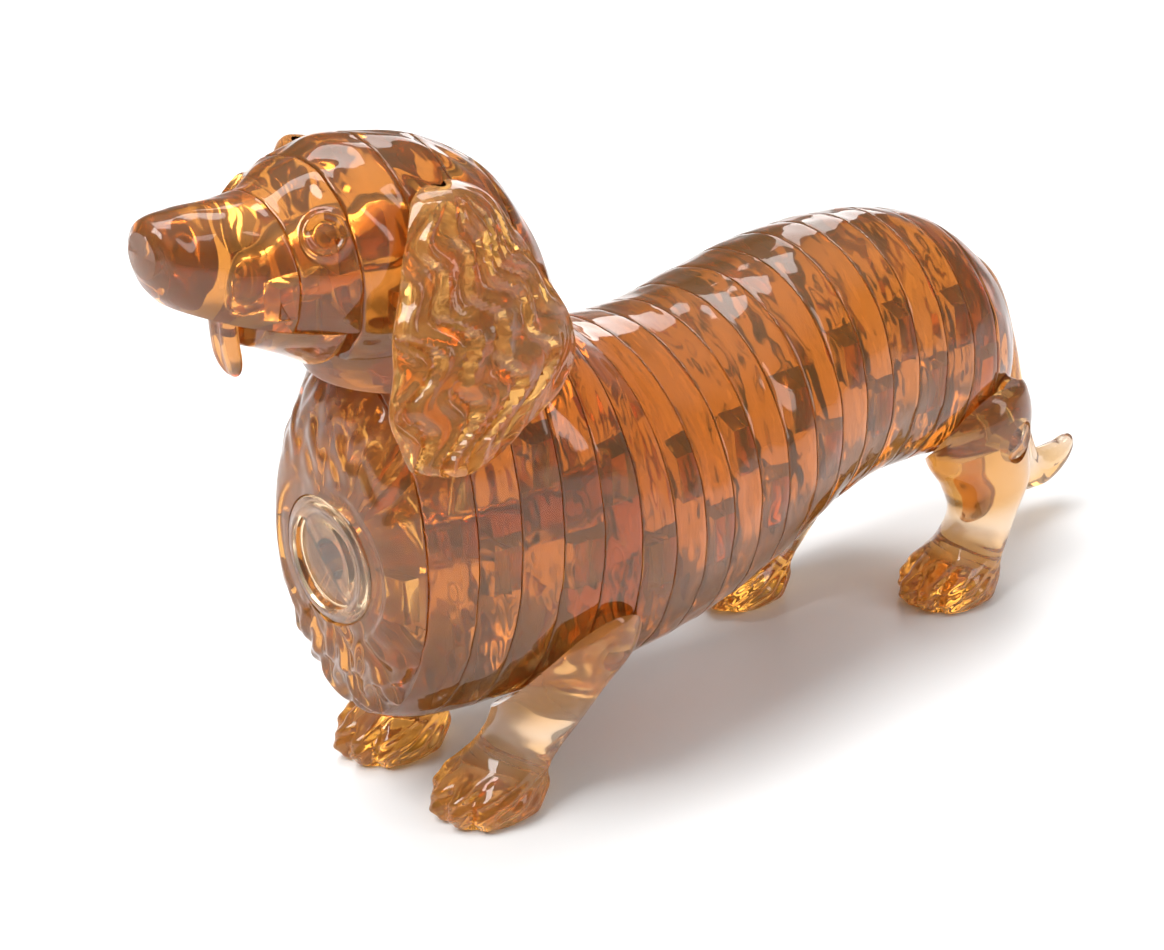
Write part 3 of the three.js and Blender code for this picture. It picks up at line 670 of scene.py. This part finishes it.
# ---- Neck plate ----
# A flat oval plate that lies across the front body plates. A peg below holds it there, and a peg
# above takes the head.
NECK_TOP = 60.0
face_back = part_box("face_plate")[1].x / MM + GAP / 2
SKULL_PITCH = 7.0
SKULL_COUNT = 4
skull_peg_x = face_back + SKULL_PITCH * 1.5
NECK = [
    (NECK_BOTTOM, bib_back - 3.9, bib_back + 5.6 * pitch, 12.8),
    ((NECK_BOTTOM + NECK_TOP) / 2, bib_back - 4.1, bib_back + 5.35 * pitch, 12.2),
    (NECK_TOP, bib_back - 4.3, bib_back + 5.1 * pitch, 11.4),
]
neck_at = through(NECK)
levels = slice_profile(NECK_BOTTOM + SEAM / 2, NECK_TOP - SEAM / 2, 0.3)
front, back, half_width = neck_at(levels[:, 0])
t = np.linspace(0, 2 * math.pi, BODY_SIDES, endpoint=False)
long_half = ((back - front) / 2 - levels[:, 1])[:, None]
neck_points = np.stack(
    [
        (front + back)[:, None] / 2 + long_half * np.cos(t),
        (half_width - levels[:, 1])[:, None] * np.sin(t),
        np.broadcast_to(levels[:, :1], (len(levels), len(t))),
    ],
    -1,
)
neck = surface("neck_ring", neck_points, amber)
skull_peg = rod((skull_peg_x, 0, NECK_TOP - 1), (skull_peg_x, 0, NECK_TOP + PEG_LENGTH), PEG_RADIUS)
worked(neck, [], [neck_peg(0), skull_peg])
fitted(neck, "neck_plate")

# ---- Muzzle and face plate ----
# The upper jaw with the nose is one thick slice, and the eyes and brows are moulded on the thin
# slice behind it. A long round pin runs back from the muzzle through the whole head.
face_front = face_back - 6.0
nose_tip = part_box("muzzle")[0].x / MM + 0.01
skull_end = face_back + 30.5
HEAD = [
    (nose_tip, 77.2, 72.2, 2.5),
    (nose_tip + 1.1, 78.3, 70, 4),
    (nose_tip + 4.3, 78.6, 66.6, 4.9),
    (face_front - 5, 78.4, 63.5, 6.3),
    (face_front, 78.2, 61, 8.3),
    (face_back - 2, 79.8, 58.7, 10.2),
    (face_back + 3, 81.6, 55, 11.3),
    (face_back + 10, 81, 52, 11.8),
    (face_back + 17, 78.5, 51, 11.4),
    (face_back + 23, 74.4, 51, 10.4),
    (face_back + 27, 67.4, 52, 8.4),
    (skull_end, 60.5, 56, 3.6),
]
head_at = through(HEAD)
MOUTH = [
    (nose_tip - 1, 70.6),
    (nose_tip + 3.3, 68.4),
    (face_front - 5, 66.3),
    (face_front, 64.9),
    (face_back + 1, 64),
]
mouth_at = through(MOUTH)
HEAD_LUG = (1.8, 3.0, 3.4)
HEAD_PIN = {"z": 69.5, "radius": 2.4, "head": 3.4, "length": 2.2}
HEAD_SIDES = 160
JAW_PEG = {"side": 4.8, "bottom": 63, "top": 68, "radius": 1.2}
head_pin_front = face_front - 4
head_pin_back = face_back + SKULL_PITCH * (SKULL_COUNT - 1) + 0.8


def head_bore():
    start, z, radius = head_pin_front - PIN_ROOM, HEAD_PIN["z"], HEAD_PIN["radius"] + PIN_ROOM
    return rod((start, 0, z), (skull_end + 5, 0, z), radius, 48, radius)


def jaw_peg(side, room):
    x, y = (face_front + face_back) / 2, side * JAW_PEG["side"]
    top, radius = JAW_PEG["top"] + room, JAW_PEG["radius"] + room
    return rod((x, y, JAW_PEG["bottom"]), (x, y, top), radius, 24)


def mouth_prism(lift, low, high):
    """A slab across the head between two heights: the mouth line, lifted, is its floor or its roof,
    whichever of the two is given as None."""
    x = np.linspace(nose_tip - 6, face_back + 1, 50)
    line = mouth_at(np.maximum(x, nose_tip - 1))[0] + lift
    floor = line if low is None else np.full_like(x, low)
    roof = line if high is None else np.full_like(x, high)
    corners = ((-ACROSS, floor), (ACROSS, floor), (ACROSS, roof), (-ACROSS, roof))
    ring = [np.stack([x, y + 0 * x, z], -1) for y, z in corners]
    return surface("mouth_prism", np.stack(ring, 1))


def bumps(points, features):
    """The points moved out from the head's middle line by round features: each is a place, a reach,
    a height and a ring radius, and rises as a bell curve of the distance from that ring."""
    centre = np.array([0, 0, 68.0])
    out = (points - centre) * (0.25, 1, 1)
    out /= np.linalg.norm(out, axis=-1, keepdims=True)
    lift = 0
    for place, reach, height, ring in features:
        off = np.linalg.norm(points - np.array(place), axis=-1)
        lift = lift + height * np.exp(-(((off - ring) / reach) ** 2))
    return points + out * np.asarray(lift)[..., None]


eye = (face_back - 2.7, 8.6, 75.4)
FACE = []
for side in (-1, 1):
    middle = (eye[0], side * eye[1], eye[2])
    FACE += [(middle, 0.5, 0.6, 2.3), (middle, 1.2, 0.7, 0.0)]
    FACE += [((face_back - 1, side * 6.5, 80.2), 2.4, 0.6, 0.0)]
    FACE += [((face_back - 2.2, side * 10.3, 66.5), 1.0, 0.5, 0.0)]
    FACE += [((nose_tip + 0.9, side * 1.9, 75.4), 0.7, -0.8, 0.0)]
    FACE += [((nose_tip + 4.5, side * 4.6, 72.5), 2.6, 0.3, 0.0)]

jaw_front = face_front - 2.8
TONGUE_FRONT = jaw_front - 2.4
TONGUE_WIDTH = 4.4
TONGUE_TOP = 65.8
BELOW_JAW = 55
muzzle_skin = np.linspace(0, 1, 64)[1:] ** 1.5
rear = face_front - SEAM / 2
muzzle_profile = [(nose_tip, 0)]
muzzle_profile += [(nose_tip + (rear - 0.3 - nose_tip) * s, 0) for s in muzzle_skin]
muzzle_profile += [(rear - 0.1, 0.1), (rear, 0.3)]
muzzle_points = bumps(ripples(tapered(muzzle_profile, head_at, HEAD_SIDES), 0.04), FACE)
muzzle = surface("muzzle_and_nose", muzzle_points, amber)
beside_tongue = TONGUE_WIDTH / 2 + GAP
tongue_room = block(
    (TONGUE_FRONT - 0.2, -beside_tongue, BELOW_JAW),
    (face_front, beside_tongue, TONGUE_TOP + 0.15),
)
muzzle_cuts = [mouth_prism(SEAM / 2, 0, None), head_bore()]
muzzle_cuts += [*lugs(head_at, face_front, 0, HEAD_LUG, LUG_ROOM), tongue_room]
worked(muzzle, muzzle_cuts)
fitted(muzzle, "muzzle")

face_profile = slice_profile(face_front + SEAM / 2, face_back - SEAM / 2, 0.28, 0.14)
FACE_SIDES = 280
face_points = bumps(ripples(tapered(face_profile, head_at, FACE_SIDES), 0.1), FACE)
face = surface("face_with_eyes", face_points, amber)
face_cuts = [mouth_prism(SEAM / 2, 0, None), head_bore()]
face_cuts += [jaw_peg(-1, PEG_ROOM), jaw_peg(1, PEG_ROOM)]
face_cuts += lugs(head_at, face_back, 1, HEAD_LUG, LUG_ROOM)
worked(face, face_cuts, lugs(head_at, face_front, 0, HEAD_LUG))
fitted(face, "face_plate")

# ---- Skull plates ----
# Four upright slices of the head on lugs like the body's. The second one stands on the neck's peg
# and takes the pegs of the ears, and the last one is the round back of the head.
EAR_PEG = {"z": 74.0, "start": 13.4, "end": 6.9}
SKULL_RIPPLE = 0.13


def ear_peg(side, room):
    return side_peg(skull_peg_x, EAR_PEG, side, room)


for number in range(1, SKULL_COUNT + 1):
    start = face_back + SKULL_PITCH * (number - 1)
    is_last = number == SKULL_COUNT
    if is_last:
        skin = 1 - (1 - np.linspace(0, 1, 40)) ** 1.6
        profile = [(start + SEAM / 2, 0.28), (start + SEAM / 2 + 0.08, 0.08)]
        profile += [(start + 0.35 + (skull_end - start - 0.35) * s, 0) for s in skin]
    else:
        profile = slice_profile(start + SEAM / 2, start + SKULL_PITCH - SEAM / 2, 0.28)
    skin = bumps(ripples(tapered(profile, head_at, HEAD_SIDES), SKULL_RIPPLE), FACE)
    skull = surface(f"skull_slice_{number}", skin, amber)
    below_neck = block((-BEYOND, -BEYOND, 0), (BEYOND, BEYOND, NECK_TOP + SEAM / 2))
    cuts = [head_bore(), below_neck]
    if not is_last:
        cuts += lugs(head_at, start + SKULL_PITCH, number + 1, HEAD_LUG, LUG_ROOM)
    else:
        seat_start, z = head_pin_back - HEAD_PIN["length"] - PIN_ROOM, HEAD_PIN["z"]
        seat_radius = HEAD_PIN["head"] + PIN_ROOM
        cuts.append(rod((seat_start, 0, z), (skull_end + 5, 0, z), seat_radius))
    if number == 2:
        socket_foot = (skull_peg_x, 0, NECK_TOP - 3)
        socket_top = (skull_peg_x, 0, NECK_TOP + PEG_LENGTH + PEG_ROOM)
        cuts.append(rod(socket_foot, socket_top, PEG_RADIUS + PEG_ROOM))
        cuts += [ear_peg(-1, PEG_ROOM), ear_peg(1, PEG_ROOM)]
    worked(skull, cuts, lugs(head_at, start, number, HEAD_LUG))
    fitted(skull, f"skull_plate_{number}")

# ---- Head pin ----
# The lock of the head, pushed in from the back through all the slices. It is of nearly colourless
# plastic, and its round front end stops inside the muzzle.
glassy = crystal("clear_crystal", (0.95, 0.88, 0.75), 14.0, (0.97, 0.93, 0.86), 0.94, 0.05)
z, radius = HEAD_PIN["z"], HEAD_PIN["radius"]
head_pin = rod((head_pin_front, 0, z), (head_pin_back - 1, 0, z), radius, 48, radius)
head_pin.name = "head_pin"
head_pin.data.materials.append(glassy)
head_start = head_pin_back - HEAD_PIN["length"]
pin_head = rod((head_start, 0, z), (head_pin_back, 0, z), HEAD_PIN["head"], 48, 0.3)
worked(head_pin, [], [pin_head])
fitted(head_pin, "head_lock_pin")

# ---- Lower jaw and tongue ----
# The jaw pushes up under the face with two pegs. The tongue hangs out in front of it, held by a
# flat tab in a slot of the jaw, and curls back a little at its tip.
jaw_back = face_back - 1.2
jaw_skin = np.linspace(jaw_front + 0.3, jaw_back - 0.3, 24)
jaw_profile = [(jaw_front, 0.35), (jaw_front + 0.1, 0.1)] + [(x, 0) for x in jaw_skin]
jaw_profile += [(jaw_back - 0.1, 0.1), (jaw_back, 0.35)]
jaw = surface("jaw", tapered(jaw_profile, head_at, HEAD_SIDES), amber)
TONGUE_THICK = 2.1
TONGUE_TIP = 58.8
tongue_x = TONGUE_FRONT + TONGUE_THICK / 2
TAB = {"depth": 1.2, "height": 0.9, "half_width": 1.6, "length": 3.2}
tab_top = float(mouth_at(jaw_front)[0]) - TAB["depth"]


def tongue_tab(room):
    half_width = TAB["half_width"] + room
    return block(
        (tongue_x, -half_width, tab_top - TAB["height"] - room),
        (jaw_front + TAB["length"] + room, half_width, tab_top + room),
    )


worked(jaw, [mouth_prism(-SEAM / 2, None, BEYOND), tongue_tab(PEG_ROOM)])
worked(jaw, [], [jaw_peg(-1, 0), jaw_peg(1, 0)])
fitted(jaw, "lower_jaw")

rose = crystal("tongue_crystal", (0.84, 0.50, 0.12), 150.0, (0.72, 0.34, 0.06), 0.88, 0.3)
down = np.linspace(0, 1, 40)
t = np.linspace(0, 2 * math.pi, 48, endpoint=False)
taper = np.sqrt(np.clip(1 - 0.97 * np.clip((down - 0.55) / 0.45, 0, 1) ** 2, 0, 1))
groove = 0.3 * np.exp(-((np.cos(t) / 0.25) ** 2)) * (np.sin(t) < 0)
bow = tongue_x + 0.9 * down**2
fall = TONGUE_TOP + (TONGUE_TIP - TONGUE_TOP) * down
tongue_points = np.stack(
    [
        bow[:, None] + (TONGUE_THICK / 2 * taper)[:, None] * (np.sin(t) + groove),
        (TONGUE_WIDTH / 2 * taper)[:, None] * np.cos(t),
        np.broadcast_to(fall[:, None], (len(down), len(t))),
    ],
    -1,
)
tongue = surface("tongue_blade", tongue_points, rose)
worked(tongue, [mouth_prism(-GAP, None, BEYOND)])
worked(tongue, [], [tongue_tab(0)])
fitted(tongue, "tongue")

# ---- Ears ----
# Long leaf-shaped ears that hang beside the head and curl in at their edges, each one moulding with
# wavy locks of hair down its outside. A round peg holds it in the skull.
EAR = [
    (77.8, 7.6, 13, -11.6),
    (75.2, 5.8, 16.4, -12.7),
    (70.5, 3.4, 19, -14.4),
    (63.5, 0.2, 22.2, -16.8),
    (57.5, -1.4, 23.4, -18.4),
    (53.4, -1.2, 18, -19.4),
    (50.2, 0.6, 9, -20),
]
ear_at = through(EAR)
EAR_THICK = 3.4
EAR_CURL = 1.7
EAR_INSET = 0.4
EAR_OFF = 0.8
EAR_SWEEP = {-1: 0.0, 1: 14.5}
EAR_SHIFT = {-1: 0.0, 1: -3.0}
honey = crystal("honey_crystal", (0.86, 0.54, 0.12), 42.0, (0.9, 0.48, 0.1), 0.88, 0.2)


def hull(outline, start, end, grow):
    """The whole body or head as one plain solid, its surface moved out by grow, to cut others."""
    place = np.linspace(start, end, 90)
    return surface("hull", tapered([(x, -grow) for x in place], outline, 64))


def ear_leaf(side):
    """A leaf from its root to its tip. Its outline follows the rows in EAR, its section is an oval
    that curls in at both edges, and its locks of hair are waves across it that swing on their way
    down."""
    top, tip = EAR[0][0], EAR[-1][0]
    share = (1 - np.cos(np.linspace(0, math.pi, 110))) / 2
    z = top + (tip - top) * share
    front, back, y = ear_at(z)
    lean = EAR_SHIFT[side] + EAR_SWEEP[side] * (top - z) / (top - tip)
    middle = face_back + (front + back) / 2 + lean
    ends = np.clip(np.minimum(share, 1 - share) / 0.05, 0.0, 1)
    round_end = np.sqrt(1 - (1 - ends) ** 2)
    half = (back - front) / 2 * (0.35 + 0.65 * round_end)
    thick = EAR_THICK / 2 * (0.15 + 0.85 * round_end)
    t = np.linspace(0, 2 * math.pi, 120, endpoint=False)
    across, depth = np.cos(t), np.sin(t)
    down = share[:, None]
    lobes = 1 + 0.035 * np.sin(22 * down + 2 * across) * down
    swing = 0.5 * np.sin(down * 8) + 0.35 * np.sin(down * 23 + 3 * across)
    wave = across * 3.4 - 1.6 * down + swing
    lock = np.abs(np.sin(wave * 2.4)) ** 0.7 + 0.25 * np.sin(wave * 9 + 4 * down) - 0.7
    combed = np.clip(depth * 3, 0, 1) * np.clip(down * 5, 0, 1) * round_end[:, None]
    hair = (0.9 * lock - 0.5) * combed
    x = middle[:, None] + half[:, None] * across * lobes
    leaf = thick[:, None] * depth - EAR_CURL * across**2
    outward = leaf + hair - y[:, None] - EAR_INSET
    return np.stack([x, side * outward, np.broadcast_to(z[:, None], x.shape)], -1)


body_hull = hull(body_at, chest_front, rump_end, GAP)
body_clear = hull(body_at, chest_front, rump_end, EAR_OFF)
head_clear = hull(head_at, nose_tip, skull_end, EAR_OFF)
for tool in (body_hull, body_clear, head_clear):
    tool["kept"] = True
for name, side in (("left", -1), ("right", 1)):
    ear = surface(f"{name}_ear_leaf", ear_leaf(side), honey)
    worked(ear, [head_clear, body_clear])
    worked(ear, [], [ear_peg(side, 0)])
    fitted(ear, f"ear_{name}")

# ---- Legs ----
# Short thick solid legs of paler plastic, clear in the shank, with four toes moulded on each paw.
# The paws are painted lighter against the shade near the table, and the hind legs are the same
# plastic painted darker, as painted shade against the back light on the thighs. The front ones peg
# into the fifth plate and the hind ones into the rump.
FRONT_LEG = [
    (0, -10.7, -9, 6.2, 4.9),
    (2, -11.1, -9, 7.2, 5.8),
    (4.5, -10.5, -9, 6.6, 5.5),
    (7, -7.5, -9.3, 5.6, 4.8),
    (10, -4.9, -9.8, 6, 4.9),
    (15, -3.3, -11.2, 6.8, 5.9),
    (20, -1.5, -13.2, 7, 6.4),
    (24.5, -0.3, -14.6, 5.6, 5.2),
    (27.5, 0.3, -15.2, 2.6, 2.6),
]
HIND_LEG = [
    (0, -0.3, -9, 6, 4.8),
    (2, -0.7, -9, 7, 5.8),
    (4.5, 0.1, -9, 6.4, 5.4),
    (7, 2.7, -9.2, 4.9, 4.6),
    (11, 4.3, -9.6, 4.7, 4.3),
    (16, 3.5, -10.4, 6.4, 5),
    (21, 1, -11, 7.6, 5.6),
    (27, 0.9, -11.2, 7.4, 5.4),
    (32, 1.9, -11, 4.4, 4),
]
HIND_STRIDE = 20.0
STRIDE_FADE = [1, 1, 1, 0.9, 0.7, 0.42, 0.16, 0, 0]
ANKLE = 6.4
TOE_TURN = 0.62
CLEAR_SHANK = (0.86, 0.71, 0.57)
# The paws' amber, painted lighter than the leg above: painted light against the shade near the
# table.
PAW_AMBER_PAINTED_LIGHTER = (0.92, 0.47, 0.09)
SHANK = (4.0, 14.5, CLEAR_SHANK, PAW_AMBER_PAINTED_LIGHTER)
straw = crystal("straw_crystal", (0.84, 0.56, 0.16), 48.0, (0.88, 0.46, 0.1), 0.89, 0.2, SHANK)
# The hind legs: the straw plastic in a darker colour above the shank, painted shade that holds down
# the back light on the thighs.
hind_straw_painted_shade = crystal("straw_crystal_painted_shade", (0.84, 0.56, 0.16), 52.0, (0.7, 0.38, 0.09), 0.91, 0.2, SHANK)


def leg_points(rows, root, side, stride):
    """A leg as oval rings, one above another, with its sole and top rounded off. Below the ankle
    three grooves part the four toes, which spread from the front of the paw."""
    leg_at = through(
        [(z, x - HIND_STRIDE * ahead, *rest) for (z, x, *rest), ahead in zip(rows, stride)]
    )
    tall = rows[-1][0]
    z = tall * (1 - np.cos(np.linspace(0, math.pi, 120))) / 2
    x, y, a, b = leg_at(z)
    crown = np.sqrt(1 - np.clip((z - tall + 2.6) / 2.6, 0, 1) ** 2 * 0.98)
    sole = 1 - 0.06 * np.clip(1 - z / 0.6, 0, 1)
    t = np.linspace(0, 2 * math.pi, 128, endpoint=False)
    ahead = t - math.pi
    z_column = z[:, None]
    paw = np.clip((ANKLE - z_column) / 2.2, 0, 1) * np.clip(z_column / 0.8 + 0.35, 0, 1)
    groove = sum(np.exp(-(((ahead - turn) / 0.13) ** 2)) for turn in (-TOE_TURN, 0, TOE_TURN))
    toes = 1 - 0.17 * paw * groove + 0.03 * paw * (np.abs(ahead) < 1.1)
    knuckles = 0.04 * np.sin(9 * ahead + z_column) * np.sin(2.2 * z_column + 3 * ahead)
    size = (crown * sole)[:, None] * (toes + paw * knuckles)
    return np.stack(
        [
            root + x[:, None] - a[:, None] * np.cos(ahead) * size,
            -side * y[:, None] + b[:, None] * np.sin(ahead) * size,
            np.broadcast_to(z_column, size.shape),
        ],
        -1,
    )


SLIDE_ROOM = 3.0
slid_hulls = [
    hull(lambda x: body_at(x - slid), chest_front + slid, rump_end + slid, GAP)
    for slid in (-2 * SLIDE_ROOM, -SLIDE_ROOM, SLIDE_ROOM)
]
for tool in slid_hulls:
    tool["kept"] = True
still = [0] * len(HIND_LEG)
for name, side in (("left", -1), ("right", 1)):
    leg = surface(f"{name}_front_limb", leg_points(FRONT_LEG, shoulder_x, side, still), straw)
    worked(leg, [body_hull, *slid_hulls])
    worked(leg, [], [shoulder_peg(side, 0)])
    fitted(leg, f"front_leg_{name}")

    stride = STRIDE_FADE if side > 0 else still
    thigh = surface(f"{name}_hind_limb", leg_points(HIND_LEG, body_back, side, stride), hind_straw_painted_shade)
    worked(thigh, [body_hull, *slid_hulls])
    cuts = [hip_bore()]
    if side < 0:
        z, seat = HIP_PIN["z"], HIP_PIN["length"] - HIP_PIN["reach"] + PIN_ROOM
        seat_radius = HIP_PIN["head"] + PIN_ROOM
        cuts.append(rod((hip_x, -ACROSS, z), (hip_x, seat, z), seat_radius))
    worked(thigh, cuts, [hind_peg(side, 0)])
    fitted(thigh, f"hind_leg_{name}")

# ---- Hip pin ----
# A thin pin across the hips that locks both thighs to the rump. Its head, level with the left
# thigh, has four hollows that catch the light as a star.
x, z = hip_x, HIP_PIN["z"]
head_end = HIP_PIN["length"] - HIP_PIN["reach"]
hip_pin = rod((x, head_end - 0.8, z), (x, HIP_PIN["reach"], z), HIP_PIN["radius"], 48, 0.2)
hip_pin.name = "hip_pin"
hip_pin.data.materials.append(pale)
t = np.linspace(0, 2 * math.pi, 96, endpoint=False)
star = np.abs(np.cos(2 * t)) ** 0.8
rings = []
for share, depth in ((0.04, 0.0), (0.35, 0.25), (0.7, 0.5), (0.92, 0.35), (1.0, 0.6), (1.0, 1.6)):
    radius = HIP_PIN["head"] * share
    y = -HIP_PIN["reach"] + depth * (0.35 + 0.65 * star * (share < 0.9) + 0.65 * (share >= 0.9))
    rings.append(np.stack([x + radius * np.cos(t), y + 0 * t, z + radius * np.sin(t)], -1))
cap = surface("hip_pin_head", np.stack(rings))
worked(hip_pin, [], [cap])
fitted(hip_pin, "hip_lock_pin")

# ---- Tail ----
# A thick tail that hangs behind the rump and flicks up at its tip, with twisted locks of hair. A
# peg holds it in the rump.
TAIL = [
    (5.5, 42.5, 2.6, 3),
    (9.5, 37, 4.2, 4.4),
    (12.7, 29, 4.6, 4.6),
    (16.1, 20.2, 4.4, 4.2),
    (19.1, 12.6, 3.9, 3.6),
    (22.1, 8.2, 3.3, 3),
    (25.9, 6.6, 2.6, 2.5),
    (30.1, 7.4, 1.8, 1.8),
    (32.9, 9.2, 0.9, 0.9),
]
tail_rows = [(i, *row) for i, row in enumerate(TAIL)]
tail_at = through(tail_rows)
run = np.linspace(0, len(TAIL) - 1, 150)
x, z, thick, wide = tail_at(run)
slope_x, slope_z = np.gradient(x), np.gradient(z)
size = np.hypot(slope_x, slope_z)
out_x, out_z = -slope_z / size, slope_x / size
t = np.linspace(0, 2 * math.pi, 96, endpoint=False)
twist = 5 * t[None, :] + 1.15 * run[:, None]
strand = 0.11 * (np.abs(np.sin(twist / 2)) ** 0.7 - 0.6) * np.clip(run / 1.5, 0, 1)[:, None]
end_round = np.sqrt(1 - np.clip((run - 7.6) / 0.4, 0, 1) ** 2 * 0.97)[:, None]
root_round = np.sqrt(1 - np.clip((0.3 - run) / 0.3, 0, 1) ** 2 * 0.9)[:, None]
thickness = thick[:, None] * (1 + strand) * end_round * root_round
tail_points = np.stack(
    [
        body_back + x[:, None] + out_x[:, None] * thickness * np.cos(t),
        wide[:, None] * (1 + strand) * end_round * root_round * np.sin(t),
        z[:, None] + out_z[:, None] * thickness * np.cos(t),
    ],
    -1,
)
tail = surface("tail_with_locks", tail_points, straw)
worked(tail, [body_hull])
worked(tail, [], [tail_peg(0)])
fitted(tail, "tail")

for tool in (body_hull, body_clear, head_clear, *slid_hulls):
    bpy.data.objects.remove(tool)
